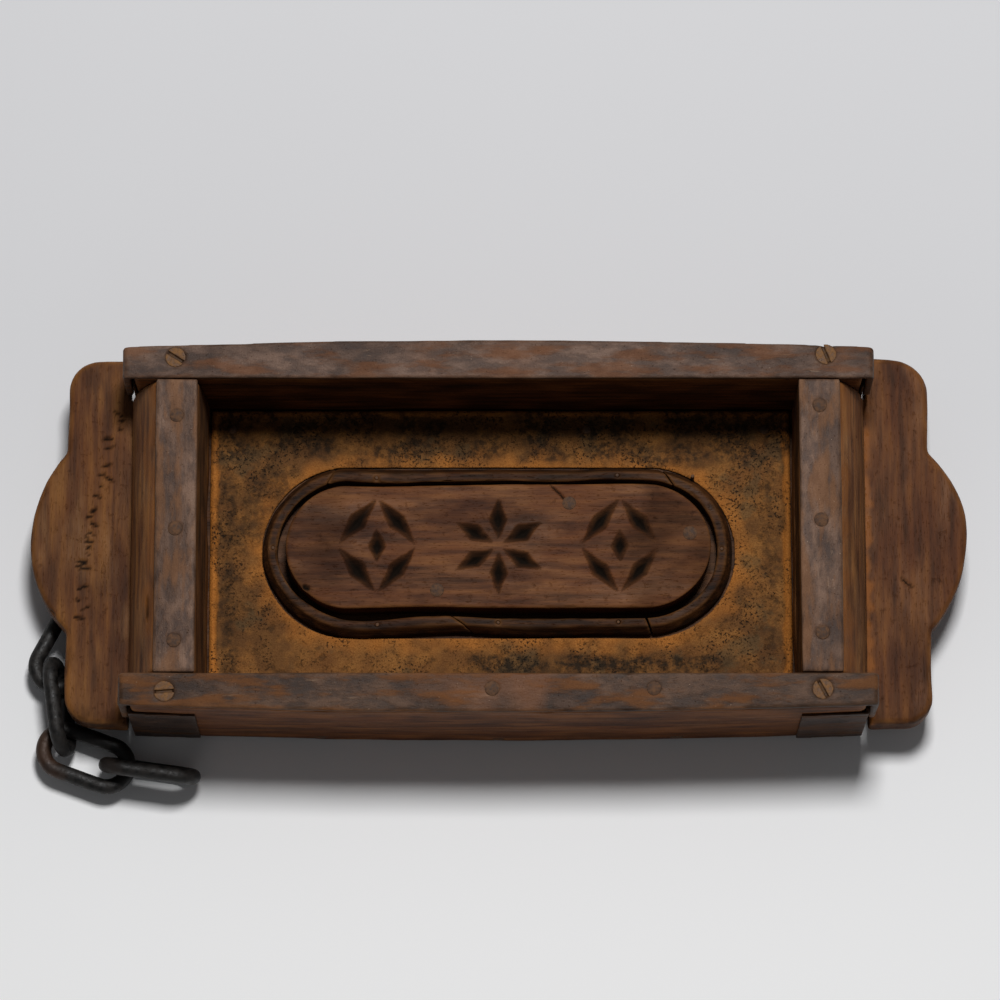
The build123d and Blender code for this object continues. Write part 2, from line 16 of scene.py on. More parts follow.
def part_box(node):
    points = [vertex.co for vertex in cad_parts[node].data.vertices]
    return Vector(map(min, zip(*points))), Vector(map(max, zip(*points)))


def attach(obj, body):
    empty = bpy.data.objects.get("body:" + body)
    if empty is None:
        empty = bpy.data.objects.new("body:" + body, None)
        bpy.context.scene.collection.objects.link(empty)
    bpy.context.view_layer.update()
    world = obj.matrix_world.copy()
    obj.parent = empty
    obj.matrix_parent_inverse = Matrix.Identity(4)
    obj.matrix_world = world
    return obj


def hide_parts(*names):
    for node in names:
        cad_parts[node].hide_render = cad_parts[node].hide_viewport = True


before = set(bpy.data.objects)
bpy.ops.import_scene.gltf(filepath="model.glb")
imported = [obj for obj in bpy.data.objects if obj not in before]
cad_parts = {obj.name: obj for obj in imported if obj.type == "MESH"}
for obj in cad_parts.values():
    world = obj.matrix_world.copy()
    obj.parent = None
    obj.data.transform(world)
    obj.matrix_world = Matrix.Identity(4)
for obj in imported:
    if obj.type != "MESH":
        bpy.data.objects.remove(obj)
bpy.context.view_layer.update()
MM = 0.001


def box_of(node):
    """A CAD node's lowest and highest corner, in millimetres."""
    low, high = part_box(node)
    return low / MM, high / MM


# %% [markdown]
# ## Camera
# The mould is seen from its near side and from almost straight above: 13 degrees off the vertical,
# through a long lens that keeps its sides nearly parallel. The camera is placed by how far back and
# how far round it stands from the point that it looks at, which is easier to read than a matrix.

# %% Place the camera
CAMERA_TILT = math.radians(13)
CAMERA_DISTANCE = 2.313
LOOK_AT = Vector((0.0007, 0.0104, 0.070))

camera = bpy.data.objects.new("camera", bpy.data.cameras.new("camera"))
bpy.context.collection.objects.link(camera)
camera.data.lens = 198
camera.data.sensor_width = 36
back = Vector((0, -math.sin(CAMERA_TILT), math.cos(CAMERA_TILT)))
camera.location = LOOK_AT + back * CAMERA_DISTANCE
camera.rotation_euler = (CAMERA_TILT, 0, 0)
bpy.context.scene.camera = camera
print("camera at", [round(c, 3) for c in camera.location])

# %% [markdown]
# ## Floor and light
# A pale sheet lies under the mould. One soft lamp hangs overhead, tipped 17 degrees towards the far
# side, and gives the short dark shadow along the near wall and the strip of shade under the far wall.
# Its width sets how soft their edges are. The room itself is dim: most of the light on the near wall
# is what the pale sheet sends back up, which is what makes the box look deep.

# %% Stage and lamps
bm = bmesh.new()
bmesh.ops.create_grid(bm, x_segments=1, y_segments=1, size=4.0)
floor_mesh = bpy.data.meshes.new("studio_floor")
bm.to_mesh(floor_mesh)
bm.free()
studio_floor = bpy.data.objects.new("studio_floor", floor_mesh)
bpy.context.collection.objects.link(studio_floor)

world = bpy.data.worlds.new("soft white room")
world.use_nodes = True
world.node_tree.nodes["Background"].inputs["Color"].default_value = (0.95, 0.97, 1.0, 1)
world.node_tree.nodes["Background"].inputs["Strength"].default_value = 0.09
bpy.context.scene.world = world


def soft_lamp(name, place, aim, size, watts):
    """A square area lamp that points at a spot."""
    lamp = bpy.data.lights.new(name, "AREA")
    lamp.size = size
    lamp.energy = watts
    holder = bpy.data.objects.new(name, lamp)
    bpy.context.collection.objects.link(holder)
    holder.location = place
    holder.rotation_euler = (Vector(aim) - Vector(place)).to_track_quat("-Z", "Y").to_euler()
    return holder


soft_lamp("overhead softbox", (0.15, 0.62, 2.0), (0, 0, 0), 0.42, 36.5)
soft_lamp("low front fill", (-0.4, -1.8, 0.7), (0, 0, 0.03), 0.8, 1.2)
bpy.context.scene.view_settings.view_transform = "Standard"
print("stage set")

# %% [markdown]
# ## Colours and nodes
# Colours are written as sRGB hex, as a colour picker gives them, and shaders want linear light, so
# one function converts. One more function adds a node: its settings, then its inputs, where an
# input is either a value or another node's output.

# %% Colour and node helpers
def colour(hex_code):
    """Linear RGBA of an sRGB hex colour."""
    channels = [int(hex_code[i:i + 2], 16) / 255 for i in (1, 3, 5)]
    linear = [c / 12.92 if c <= 0.04045 else ((c + 0.055) / 1.055) ** 2.4 for c in channels]
    return (*linear, 1)


def add(tree, kind, settings=None, inputs=None):
    """A node with its settings, a ramp's stops among them, and its inputs set or linked."""
    node = tree.nodes.new(kind)
    for key, value in (settings or {}).items():
        if key == "ramp":
            stops = node.color_ramp.elements
            while len(stops) < len(value):
                stops.new(1)
            for stop, (place, shade) in zip(stops, value):
                stop.position = place
                stop.color = colour(shade) if isinstance(shade, str) else (shade, shade, shade, 1)
        else:
            setattr(node, key, value)
    for key, value in (inputs or {}).items():
        if isinstance(value, bpy.types.NodeSocket):
            tree.links.new(value, node.inputs[key])
        else:
            node.inputs[key].default_value = value
    return node


def blank(name):
    """A new material's tree and its shader."""
    material = bpy.data.materials.new(name)
    material.use_nodes = True
    return material, material.node_tree, material.node_tree.nodes["Principled BSDF"]


def mixed(tree, how, amount, first, second):
    """Two colours mixed, multiplied or the like."""
    node = add(tree, "ShaderNodeMix", {"data_type": "RGBA", "blend_type": how},
               {0: amount, 6: first, 7: second})
    return node.outputs[2]


def patches(tree, place, size_mm, low, high, detail=4.0, stretch=1.0):
    """A soft-edged mask of noise patches about size_mm across, between two noise levels."""
    scale = 1 / (size_mm * MM)
    spread = add(tree, "ShaderNodeMapping", {}, {"Vector": place, "Scale": (scale / stretch, scale, scale)})
    cloud = add(tree, "ShaderNodeTexNoise", {},
                {"Vector": spread.outputs[0], "Scale": 1.0, "Detail": detail, "Roughness": 0.6})
    cut = add(tree, "ShaderNodeMapRange", {"interpolation_type": "SMOOTHSTEP"},
              {"Value": cloud.outputs[0], "From Min": low, "From Max": high})
    return cut.outputs[0]


def painted(tree, name):
    """A number that the modelling code has stored on the mesh's points."""
    return add(tree, "ShaderNodeAttribute", {"attribute_name": name}).outputs["Fac"]


def scaled(tree, value, factor):
    """A mask times a number."""
    return add(tree, "ShaderNodeMath", {"operation": "MULTIPLY"}, {0: value, 1: factor}).outputs[0]


def summed(tree, *terms):
    """Masks times their weights, added up."""
    total = scaled(tree, *terms[0])
    for value, weight in terms[1:]:
        node = add(tree, "ShaderNodeMath", {"operation": "MULTIPLY_ADD"}, {0: value, 1: weight, 2: total})
        total = node.outputs[0]
    return total


print("helpers ready")

# %% [markdown]
# ## Studio floor finish
# Matt photographic paper: nearly white, no gloss, so it only takes the shadow. A real sheet is never
# lit quite evenly, so it greys a little behind the mould, by its own Object coordinates.

# %% Paper
PAPER_FADE = (-0.24, 0.12)       # from under the near edge to under the far one, in metres

paper, tree, shader = blank("matt_background_paper")
sheet_place = add(tree, "ShaderNodeTexCoord").outputs["Object"]
behind = add(tree, "ShaderNodeSeparateXYZ", {}, {"Vector": sheet_place}).outputs["Y"]
far_share = add(tree, "ShaderNodeMapRange", {"interpolation_type": "SMOOTHSTEP"},
                {"Value": behind, "From Min": PAPER_FADE[0], "From Max": PAPER_FADE[1]}).outputs[0]
greyed = add(tree, "ShaderNodeValToRGB", {"ramp": [(0.0, "#fafafa"), (1.0, "#d9d9db")]},
             {"Fac": far_share}).outputs[0]
tree.links.new(greyed, shader.inputs["Base Color"])
shader.inputs["Roughness"].default_value = 0.9
shader.inputs["Specular IOR Level"].default_value = 0.1
studio_floor.data.materials.append(paper)
print("floor finish:", paper.name)

# %% [markdown]
# ## Old hardwood
# The boards are a dense brown hardwood, sawn and planed by hand, then oiled by hands and stained by
# wet clay. Along the grain the pattern is drawn out about twenty times. Four things make it: broad
# growth streaks, fine fibres, short dark pores, and large stains that ignore the grain. Arrises are
# rubbed lighter, and cuts and corners are painted dark as shade, with dirt in places: the modelling
# code stores both on the mesh.

# %% Hardwood material
GRAIN_ALONG = {"X": 0.0, "Y": math.pi / 2}


def hardwood(name, dark, middle, light, along="X", streak_mm=4.0, stain=0.6, seed=0.0):
    """Brown hardwood whose grain runs along X or Y."""
    material, tree, shader = blank(name)
    spot = add(tree, "ShaderNodeTexCoord").outputs["Object"]
    place = add(tree, "ShaderNodeMapping", {}, {"Vector": spot, "Rotation": (0, 0, GRAIN_ALONG[along]),
                                                "Location": (seed, seed * 0.7, seed * 0.3)}).outputs[0]
    streaks = patches(tree, place, streak_mm, 0.22, 0.78, 5.0, 11)
    broad = patches(tree, place, streak_mm * 3.5, 0.30, 0.66, 4.0, 3.0)
    fibres = patches(tree, place, 0.5, 0.2, 0.8, 3.0, 26)
    pores = patches(tree, place, 0.5, 0.62, 0.72, 2.0, 7)
    stains = patches(tree, place, 17, 0.49, 0.66, 7.0, 2.6)
    rubbed = patches(tree, place, 12, 0.48, 0.72, 6.0, 4.0)
    spots = patches(tree, spot, 3.4, 0.60, 0.72, 5.0)

    tone = add(tree, "ShaderNodeValToRGB", {"ramp": [(0.0, dark), (0.45, middle), (1.0, light)]},
               {"Fac": streaks}).outputs[0]
    tone = mixed(tree, "MULTIPLY", scaled(tree, broad, 0.55), tone, colour("#b48a72"))
    tone = mixed(tree, "MIX", scaled(tree, rubbed, 0.45), tone, colour(light))
    tone = mixed(tree, "MULTIPLY", scaled(tree, fibres, 0.5), tone, colour("#d9c4b4"))
    tone = mixed(tree, "MIX", scaled(tree, pores, 0.35), tone, colour(dark))
    tone = mixed(tree, "MULTIPLY", scaled(tree, stains, stain), tone, colour("#765c4e"))
    tone = mixed(tree, "MULTIPLY", scaled(tree, spots, 0.4), tone, colour("#7d6253"))
    tone = mixed(tree, "MIX", scaled(tree, painted(tree, "wear"), 0.55), tone, colour("#a4703f"))
    # painted shade in hollows, cuts and inside the box, and dirt in places, darken the wood
    tone = mixed(tree, "MIX", painted(tree, "grime"), tone, colour("#110a05"))
    tone = mixed(tree, "MIX", painted(tree, "clay"), tone, colour("#87501f"))
    tree.links.new(tone, shader.inputs["Base Color"])

    gloss = add(tree, "ShaderNodeMapRange", {}, {"Value": rubbed, "To Min": 0.62, "To Max": 0.48})
    dulled = summed(tree, (gloss.outputs[0], 1), (painted(tree, "grime"), 0.35))
    tree.links.new(dulled, shader.inputs["Roughness"])
    shader.inputs["Specular IOR Level"].default_value = 0.12
    height = summed(tree, (streaks, 0.4), (fibres, 0.22), (pores, -0.7), (spots, -0.5))
    bump = add(tree, "ShaderNodeBump", {}, {"Height": height, "Distance": 0.3 * MM, "Strength": 0.7})
    tree.links.new(bump.outputs[0], shader.inputs["Normal"])
    return material


handle_left_wood = hardwood("hand_worn_hardwood_left", "#422918", "#654124", "#875c2d", "Y", 4.5, 0.45, 0.31)
handle_right_wood = hardwood("hand_worn_hardwood_right", "#402816", "#623e24", "#7d5129", "Y", 4.5, 0.5,
                             0.83)
wall_wood = hardwood("weathered_wall_hardwood", "#3b2312", "#653d1d", "#865327", "X", 3.0, 0.45, 0.12)
end_wood = hardwood("weathered_end_wall_hardwood", "#4a3424", "#7a5538", "#a0713f", "Y", 3.0, 0.5, 0.55)
base_wood = hardwood("clay_stained_base_wood", "#2c1c10", "#4d3420", "#6a482c", "X", 5.0, 0.5, 0.4)
plaque_wood = hardwood("carved_plaque_hardwood", "#3f2717", "#674228", "#835732", "X", 3.0, 0.6, 0.67)
bead_wood = hardwood("worn_bead_hardwood", "#1b0f07", "#331e0e", "#57371d", "X", 2.0, 0.5, 0.23)
print("hardwoods made")

# %% [markdown]
# ## Patinated wrought iron
# The rim irons were forged from flat bar and rubbed by the striking board. What shows is a thin hard
# oxide, purple-brown and slightly glossy, with patches of orange rust and pale scuffs where bare
# iron begins to show. Most of it is oxide, so metallic stays low.

# %% Iron materials
def patinated(name, dark, middle, rusty, rust_amount=0.5, along="X", seed=0.0):
    """Old wrought iron with oxide, rust drawn out along the bar, scratches and scuffs."""
    material, tree, shader = blank(name)
    spot = add(tree, "ShaderNodeTexCoord").outputs["Object"]
    place = add(tree, "ShaderNodeMapping", {}, {"Vector": spot, "Rotation": (0, 0, GRAIN_ALONG[along]),
                                                "Location": (seed, seed, seed)}).outputs[0]
    cloud = patches(tree, place, 4, 0.34, 0.66, 8.0, 2.2)
    broad = patches(tree, place, 22, 0.42, 0.60, 6.0, 2.2)
    rust = patches(tree, place, 7, 0.47, 0.62, 8.0, 4.0)
    specks = patches(tree, spot, 0.9, 0.64, 0.72, 4.0)
    scuffs = patches(tree, place, 1.3, 0.64, 0.74, 6.0, 7.0)
    pale = patches(tree, spot, 0.8, 0.70, 0.76, 3.0)
    grit = patches(tree, spot, 0.5, 0.3, 0.7, 3.0)

    tone = mixed(tree, "MIX", cloud, colour(dark), colour(middle))
    tone = mixed(tree, "MULTIPLY", scaled(tree, broad, 0.6), tone, colour("#92806f"))
    tone = mixed(tree, "MIX", scaled(tree, rust, rust_amount), tone, colour(rusty))
    tone = mixed(tree, "MIX", scaled(tree, specks, 0.45), tone, colour("#2b1d13"))
    tone = mixed(tree, "MULTIPLY", scaled(tree, grit, 0.6), tone, colour("#d2c2b8"))
    tone = mixed(tree, "MIX", scaled(tree, scuffs, 0.26), tone, colour("#a08469"))
    tone = mixed(tree, "MIX", scaled(tree, pale, 0.55), tone, colour("#c0a58c"))
    tone = mixed(tree, "MIX", scaled(tree, painted(tree, "wear"), 0.5), tone, colour("#957a66"))
    # painted shade in hollows and corners, and dirt in places, darken the iron
    tone = mixed(tree, "MIX", painted(tree, "grime"), tone, colour("#1a110b"))
    tone = mixed(tree, "MIX", painted(tree, "clay"), tone, colour("#8f5a34"))
    tree.links.new(tone, shader.inputs["Base Color"])
    shader.inputs["Metallic"].default_value = 0.05
    shader.inputs["Specular IOR Level"].default_value = 0.14
    gloss = add(tree, "ShaderNodeMapRange", {}, {"Value": rust, "To Min": 0.48, "To Max": 0.68})
    tree.links.new(gloss.outputs[0], shader.inputs["Roughness"])
    height = summed(tree, (cloud, 0.7), (rust, 0.5), (grit, 0.2), (specks, -0.6))
    bump = add(tree, "ShaderNodeBump", {}, {"Height": height, "Distance": 0.22 * MM, "Strength": 0.7})
    tree.links.new(bump.outputs[0], shader.inputs["Normal"])
    return material


near_strap_iron = patinated("patinated_near_rim_iron", "#3a2a20", "#5a412f", "#774b26", 0.62, "X", 0.2)
far_strap_iron = patinated("patinated_far_rim_iron", "#49382f", "#6d5648", "#7c5032", 0.45, "X", 0.44)
strip_iron = patinated("patinated_end_strip_iron", "#503d33", "#795e4c", "#876042", 0.5, "Y", 0.7)
plate_iron = patinated("dark_corner_plate_iron", "#31241d", "#4b3528", "#5f3d20", 0.5, "X", 0.5)
print("irons made")

# %% [markdown]
# ## Rust, brass and chain
# The liner in the floor of the mould is thin sheet iron that wet clay has eaten: ochre rust with
# black pits, and bluish where scale is left; towards the walls it is painted darker as shade, and its
# raised lip is painted bright as a highlight. The chain is forged and its black scale is still on it,
# so it is nearly black with a soft grey sheen on rounded wire. Screws are brass gone brown. Nail heads
# are steel, brown with a rubbed crown.

# %% Rusted sheet
def rusted_sheet(name):
    """Sheet iron with ochre rust, black pits and bluish scale."""
    material, tree, shader = blank(name)
    spot = add(tree, "ShaderNodeTexCoord").outputs["Object"]
    ochre = patches(tree, spot, 13, 0.30, 0.68, 7.0)
    dark = patches(tree, spot, 22, 0.46, 0.58, 9.0)
    blots = patches(tree, spot, 4.5, 0.55, 0.66, 6.0)
    pits = patches(tree, spot, 1.1, 0.57, 0.63, 3.0)
    pit_zones = patches(tree, spot, 16, 0.40, 0.62, 4.0)
    scale = patches(tree, spot, 17, 0.54, 0.62, 9.0)
    dark_grain = patches(tree, spot, 3.0, 0.38, 0.62, 9.0)
    grit = patches(tree, spot, 0.6, 0.25, 0.75, 3.0)
    tone = mixed(tree, "MIX", ochre, colour("#6e4823"), colour("#926431"))
    tone = mixed(tree, "MIX", scaled(tree, dark, 0.55), tone, colour("#4a321c"))
    tone = mixed(tree, "MIX", scaled(tree, scale, 0.45), tone, colour("#4b4531"))
    tone = mixed(tree, "MIX", scaled(tree, blots, 0.5), tone, colour("#33220f"))
    # rust where clay dried, and a painted highlight along the raised lip
    tone = mixed(tree, "MIX", painted(tree, "clay"), tone, colour("#b3722f"))
    pitting = add(tree, "ShaderNodeMath", {"operation": "MULTIPLY"}, {0: pits, 1: pit_zones}).outputs[0]
    tone = mixed(tree, "MIX", scaled(tree, pitting, 0.9), tone, colour("#170f08"))
    tone = mixed(tree, "MULTIPLY", grit, tone, colour("#d8c8b4"))
    # painted shade at the foot of the walls, with dirt in places, broken up by dark grain
    broken = add(tree, "ShaderNodeMapRange", {}, {"Value": dark_grain, "To Min": 0.45, "To Max": 1.5})
    shade_and_dirt = add(tree, "ShaderNodeMath", {"operation": "MULTIPLY", "use_clamp": True},
               {0: painted(tree, "grime"), 1: broken.outputs[0]}).outputs[0]
    tone = mixed(tree, "MIX", shade_and_dirt, tone, colour("#181209"))
    tree.links.new(tone, shader.inputs["Base Color"])
    shader.inputs["Roughness"].default_value = 0.78
    shader.inputs["Specular IOR Level"].default_value = 0.2
    height = summed(tree, (ochre, 0.7), (grit, 0.35), (pitting, -1.4), (blots, -0.5))
    bump = add(tree, "ShaderNodeBump", {}, {"Height": height, "Distance": 0.4 * MM, "Strength": 0.9})
    tree.links.new(bump.outputs[0], shader.inputs["Normal"])
    return material


liner_rust = rusted_sheet("clay_rusted_sheet_iron")
print(liner_rust.name)

# %% Chain, brass and nail steel
def small_metal(name, dark, light, metallic, rough, spot_mm, grime="#120c08"):
    """A metal whose tarnish clouds are a few millimetres across."""
    material, tree, shader = blank(name)
    spot = add(tree, "ShaderNodeTexCoord").outputs["Object"]
    cloud = patches(tree, spot, spot_mm, 0.35, 0.65, 5.0)
    specks = patches(tree, spot, spot_mm / 4, 0.55, 0.68, 4.0)
    tone = mixed(tree, "MIX", cloud, colour(dark), colour(light))
    tone = mixed(tree, "MIX", scaled(tree, specks, 0.6), tone, colour(grime))
    tone = mixed(tree, "MIX", painted(tree, "clay"), tone, colour("#4a2f1c"))
    # painted shade in slots and hollows, and dirt in places
    tone = mixed(tree, "MIX", painted(tree, "grime"), tone, colour(grime))
    tree.links.new(tone, shader.inputs["Base Color"])
    shader.inputs["Metallic"].default_value = metallic
    gloss = add(tree, "ShaderNodeMapRange", {}, {"Value": cloud, "To Min": rough, "To Max": rough + 0.2})
    tree.links.new(gloss.outputs[0], shader.inputs["Roughness"])
    height = summed(tree, (cloud, 0.6), (specks, -0.5))
    bump = add(tree, "ShaderNodeBump", {}, {"Height": height, "Distance": 0.2 * MM, "Strength": 0.7})
    tree.links.new(bump.outputs[0], shader.inputs["Normal"])
    return material


chain_scale = small_metal("forge_blackened_chain_iron", "#0a0807", "#211d1a", 0.3, 0.48, 3)
screw_brass = small_metal("tarnished_screw_brass", "#543820", "#7e5831", 0.25, 0.6, 2, "#2a1a0c")
nail_steel = small_metal("rusted_nail_steel", "#3f2a1c", "#66472f", 0.1, 0.72, 2, "#2a1b12")
print("metals made")

# %% [markdown]
# ## From a new board to an old one
# A new board has crisp arrises. This one has been wet, dried and scraped for years, so its arrises
# are rounded unevenly, its faces waver, and small bites are missing. It could be sculpted by hand.
# Here code does it in the same order as wear did: the CAD shape is copied and remeshed into small
# even squares, a few rounds of smoothing let the arrises sink, and noise moves what is left. How far
# smoothing moved a point says how exposed it is, so that is kept on the mesh for the materials.

# %% Copy a CAD piece as an even mesh
def even_copy(nodes, voxel):
    """A bmesh of CAD nodes, merged and remeshed in squares of voxel millimetres."""
    bm = bmesh.new()
    for node in nodes:
        bm.from_mesh(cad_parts[node].data)
    bmesh.ops.remove_doubles(bm, verts=bm.verts, dist=0.001 * MM)
    bmesh.ops.recalc_face_normals(bm, faces=bm.faces)
    return evened(bm, voxel)


def evened(bm, voxel):
    """The same solid remeshed in even squares."""
    mesh = bpy.data.meshes.new("rough")
    bm.to_mesh(mesh)
    bm.free()
    holder = bpy.data.objects.new("rough", mesh)
    bpy.context.collection.objects.link(holder)
    remesh = holder.modifiers.new("even squares", "REMESH")
    remesh.mode = "VOXEL"
    remesh.voxel_size = voxel * MM
    shape = holder.evaluated_get(bpy.context.evaluated_depsgraph_get())
    even = bmesh.new()
    even.from_mesh(shape.to_mesh())
    bpy.data.objects.remove(holder)
    bpy.data.meshes.remove(mesh)
    return even


print("even_copy ready")

# %% Wear it
# per point: wear; painted shade in hollows, cuts and slots, with dirt in places; clay, with a painted
# highlight on the liner's lip
PAINTS = ("wear", "grime", "clay")
WAVE_SIZES = (34, 8)             # across a broad and a small unevenness
SMALL_WAVE = 0.35                # the small one's share
RUB_SIZE = 9                     # across a rubbed place
BITE_SIZE = 5.5                  # across a chip
BITE_FROM = 0.18                 # noise above this bites
ARRIS_SUNK = 0.12                # a point that sank this far is on an arris


def paint_layers(bm):
    """The float layers that the materials read, made if they aren't there."""
    floats = bm.verts.layers.float
    return [floats.get(name) or floats.new(name) for name in PAINTS]


def worn(bm, rounds, wave_mm, bite_mm=0.0, seed=0.0):
    """Sinks the arrises, wavers the faces and bites chips out of the arrises."""
    wear, grime, _ = paint_layers(bm)
    before = [v.co.copy() for v in bm.verts]
    for _ in range(rounds):
        bmesh.ops.smooth_vert(bm, verts=bm.verts, factor=0.5,
                              use_axis_x=True, use_axis_y=True, use_axis_z=True)
    bm.normal_update()
    shift = Vector((seed, seed * 2, seed * 3))
    for v, old in zip(bm.verts, before):
        sunk = (old - v.co).dot(v.normal) / MM
        spot = v.co / MM + shift
        patchy = 0.55 + 0.9 * noise.noise(spot / RUB_SIZE)
        v[wear] = min(max(sunk * 2.4, 0), 1) * min(max(patchy, 0), 1)
        # a point that smoothing raised lies in a hollow, and is painted darker there as shade
        v[grime] = min(max(-sunk * 1.6, 0), 0.8)
        broad, small = [noise.noise(spot / size) for size in WAVE_SIZES]
        move = wave_mm * (broad + SMALL_WAVE * small)
        if bite_mm and sunk > ARRIS_SUNK:
            bite = noise.noise(spot / BITE_SIZE) - BITE_FROM
            if bite > 0:
                move -= bite_mm * min(bite * 2.6, 1) * min(sunk * 2.5, 1)
        v.co += v.normal * move * MM
    return bm


def bent(bm, reach_mm, size_mm):
    """Lets an outline wander in plan, as a saw or a drawknife does."""
    for v in bm.verts:
        spot = Vector((v.co.x, v.co.y, 0)) / (size_mm * MM)
        v.co.x += noise.noise(spot) * reach_mm * MM
        v.co.y += noise.noise(spot + Vector((5, 9, 0))) * reach_mm * MM
    return bm


print("worn and bent ready")

# %% Cut and stain it
UPWARD = 0.4                     # a face whose normal's Z is above this can be cut
SHALLOWEST_CUT = 0.05            # half a cut's width, below which there is none
CROOK_SIZE = 6                   # across one wriggle of a crooked cut


def along(spot, start, end):
    """How far along a line a point lies, from 0 to 1, and how far beside it in millimetres."""
    line = end - start
    share = (spot - start).dot(line) / line.length_squared
    clear = min(max(share, 0), 1)
    return share, (spot - start - line * clear).length


def gouged(bm, start, end, width, depth, diamond=False, crooked=0.0):
    """A V-cut in upward faces, from start to end in plan, in millimetres."""
    _, grime, _ = paint_layers(bm)
    start, end = Vector(start), Vector(end)
    low = [min(start[i], end[i]) - width for i in (0, 1)]
    high = [max(start[i], end[i]) + width for i in (0, 1)]
    for v in bm.verts:
        spot = Vector((v.co.x / MM, v.co.y / MM))
        if v.normal.z < UPWARD or not (low[0] < spot.x < high[0] and low[1] < spot.y < high[1]):
            continue
        if crooked:
            wriggle = v.co / MM / CROOK_SIZE
            spot += Vector((noise.noise(wriggle), noise.noise(wriggle + Vector((9, 0, 0))))) * crooked
        share, beside = along(spot, start, end)
        if diamond:
            taper = 1 - abs(2 * share - 1)
        else:
            taper = min(4 * share, 4 * (1 - share), 1)
        half = width / 2 * max(taper, 0)
        if half > SHALLOWEST_CUT and beside < half:
            deep = depth * taper * (1 - beside / half)
            v.co.z -= deep * MM
            # the cut is painted darker towards its bottom, as shade in the V
            v[grime] = min(max(v[grime], 0.35 + deep / depth), 1)


def stained(bm, paint, low, high, amount, soft=3.0, patch=7.0):
    """Paints a box-shaped region, ragged at its edges, in millimetres."""
    layer = paint_layers(bm)[PAINTS.index(paint)]
    for v in bm.verts:
        spot = v.co / MM
        inside = min(min(spot[i] - low[i], high[i] - spot[i]) for i in range(3))
        ragged = inside / soft + 1.3 * noise.noise(spot / patch) + 0.25
        if ragged > 0:
            v[layer] = max(v[layer], amount * min(ragged, 1))


print("gouged and stained ready")

# %% Hand a finished shape to the frame
def hand_in(bm, name, body, nodes, material):
    """A bmesh made an object that rides a body and stands for CAD nodes."""
    mesh = bpy.data.meshes.new(name)
    paint_layers(bm)
    # nothing reaches under the floor, which has rubbed the underside flat
    for v in bm.verts:
        v.co.z = max(v.co.z, 0)
    bm.to_mesh(mesh)
    bm.free()
    mesh.shade_smooth()
    mesh.materials.append(material)
    piece = bpy.data.objects.new(name, mesh)
    bpy.context.collection.objects.link(piece)
    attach(piece, body)
    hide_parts(*nodes)
    print(name, len(mesh.polygons), "faces")
    return piece


print("hand_in ready")

# %% [markdown]
# ## Base and handle boards
# The base is one plank under everything. A handle board stands on each end of it, scalloped with a
# drawknife so that a hand fits each side of the lobe. Grain runs across the mould in the handles.
# Their outer arrises are the most handled places, so they get the most rounding and bites.

# %% Base board
base = worn(even_copy(["base_board"], 1.9), 2, 0.35, 0.8, 3.0)
hand_in(base, "worn_base_board", "mould", ["base_board"], base_wood)

# %% Handle boards
HANDLE_FINISH = {"left": (handle_left_wood, 11.0), "right": (handle_right_wood, 27.0)}
handles = {}
for side, (_, seed) in HANDLE_FINISH.items():
    handles[side] = bent(worn(even_copy([f"handle_board_{side}"], 1.0), 5, 0.45, 1.3, seed), 1.2, 30)
print("handle boards", [len(board.faces) for board in handles.values()], "faces")

# %% Nicks, a split and dirt on the handles
NICK_ROW = [Vector((-162.6, 59.8)), Vector((-173.3, 8.2)), Vector((-178.6, -32.4))]
NICK_PITCH = 2.2
NICK_SHARE = 0.75                # the rest of the row is missing
NICK_DEPTH = 0.8
SPLIT_FROM, SPLIT_TO = (171.5, -13.0), (178.2, -20.4)
RIGHT_WING_INSIDE = 42.4         # from the lobe's tip back to where clay dried against the wall

# a ragged row of chisel nicks crosses the left board from its far inner corner to the lobe
dice = random.Random(7)
for first, last in zip(NICK_ROW, NICK_ROW[1:]):
    steps = int((last - first).length / NICK_PITCH)
    for step in range(steps):
        middle = first.lerp(last, (step + dice.random()) / steps)
        middle += Vector((dice.uniform(-2.8, 2.8), 0))
        if dice.random() < NICK_SHARE:
            reach = Vector((dice.uniform(1.0, 3.2), dice.uniform(-1.4, 1.4)))
            gouged(handles["left"], middle - reach, middle + reach, dice.uniform(0.9, 1.7), NICK_DEPTH)

# a short split beside the right board's lobe, and the clay that dried along its inner edge
gouged(handles["right"], SPLIT_FROM, SPLIT_TO, 1.3, 1.2, crooked=1.5)
low, high = box_of("handle_board_right")
inside = high.x - RIGHT_WING_INSIDE
stained(handles["right"], "clay", (inside - 2, low.y, 26), (inside + 1.5, high.y, 40), 0.75, 2.0, 5.0)
for side, board in handles.items():
    node = f"handle_board_{side}"
    low, high = box_of(node)
    stained(board, "grime", (low.x - 5, low.y - 3, 12), (high.x + 5, low.y + 6, 32), 0.30, 9.0, 14.0)
    hand_in(board, f"worn_{node}", "mould", [node], HANDLE_FINISH[side][0])

# %% [markdown]
# ## Walls of the box
# Two long walls bow out a little and two end walls slope. They are the same hardwood, darker from
# the clay that is struck off over them, and their inner faces are painted darker still, as shade
# inside the box. The near wall's upper band is rubbed and rusty from the iron.

# %% Long walls
for edge, seed in (("near", 41.0), ("far", 52.0)):
    node = f"long_wall_{edge}"
    low, high = box_of(node)
    wall = worn(even_copy([node], 1.3), 3, 0.35, 0.9, seed)
    outer = low.y if edge == "near" else high.y
    stained(wall, "clay", (low.x, outer - 3, high.z - 15), (high.x, outer + 3, high.z + 2), 0.35, 5.0, 12.0)
    inner = high.y if edge == "near" else low.y
    # the inner face is painted darker, as shade inside the box
    stained(wall, "grime", (low.x, inner - 3, low.z), (high.x, inner + 3, low.z + 60), 0.55, 8.0, 16.0)
    hand_in(wall, f"worn_{node}", "mould", [node], wall_wood)

# %% End walls
END_WALL_TOP_IN = 12.5           # from an end wall's foot in to the outer edge of its top
LEFT_WALL_SPLIT = ((-147.6, -28.0), (-147.3, -41.0))

